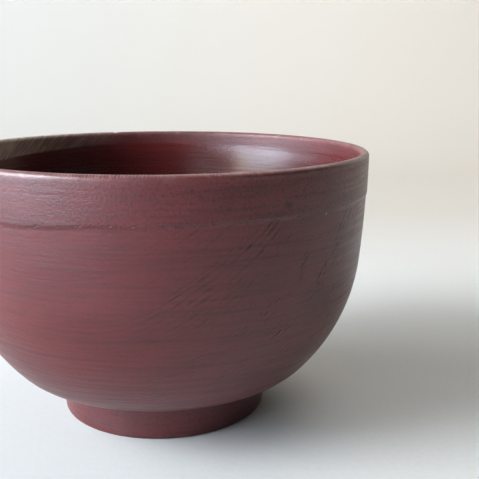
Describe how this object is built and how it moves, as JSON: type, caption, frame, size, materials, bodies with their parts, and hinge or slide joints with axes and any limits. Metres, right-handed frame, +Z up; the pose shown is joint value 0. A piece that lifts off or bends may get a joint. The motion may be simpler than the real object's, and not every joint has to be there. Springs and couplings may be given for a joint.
{
  "type": "rice bowl",
  "caption": "Deep round rice bowl on a low foot ring, turned from wood, cloth-reinforced at lip and foot under dark red-brown lacquer.",
  "frame": {"origin": "centre of the foot ring's standing face, on the turning axis", "axes": "+Z up along the turning axis; the bowl is round about Z, so +X and +Y are any two square directions level with the table"},
  "size_m": [0.115, 0.115, 0.074],
  "materials": {
    "turned_wood": "bare turned hardwood, hidden under the lacquer",
    "hemp_cloth": "coarse hemp weave filled with lacquer paste, hidden under the lacquer",
    "outer_lacquer": "semi-gloss dark red-brown brushed lacquer with the wood grain telegraphing through below the rim band",
    "inner_lacquer": "glossier dark red-brown brushed lacquer, smooth",
    "foot_lacquer": "semi-gloss dark red lacquer, slightly worn where the ring stands"
  },
  "bodies": {
    "root": {"wood_core": "turned_wood", "rim_cloth": "hemp_cloth", "foot_cloth": "hemp_cloth", "lacquer_outside": "outer_lacquer", "lacquer_inside": "inner_lacquer", "lacquer_foot": "foot_lacquer", "lacquer_recess": "foot_lacquer"}
  },
  "joints": []
}
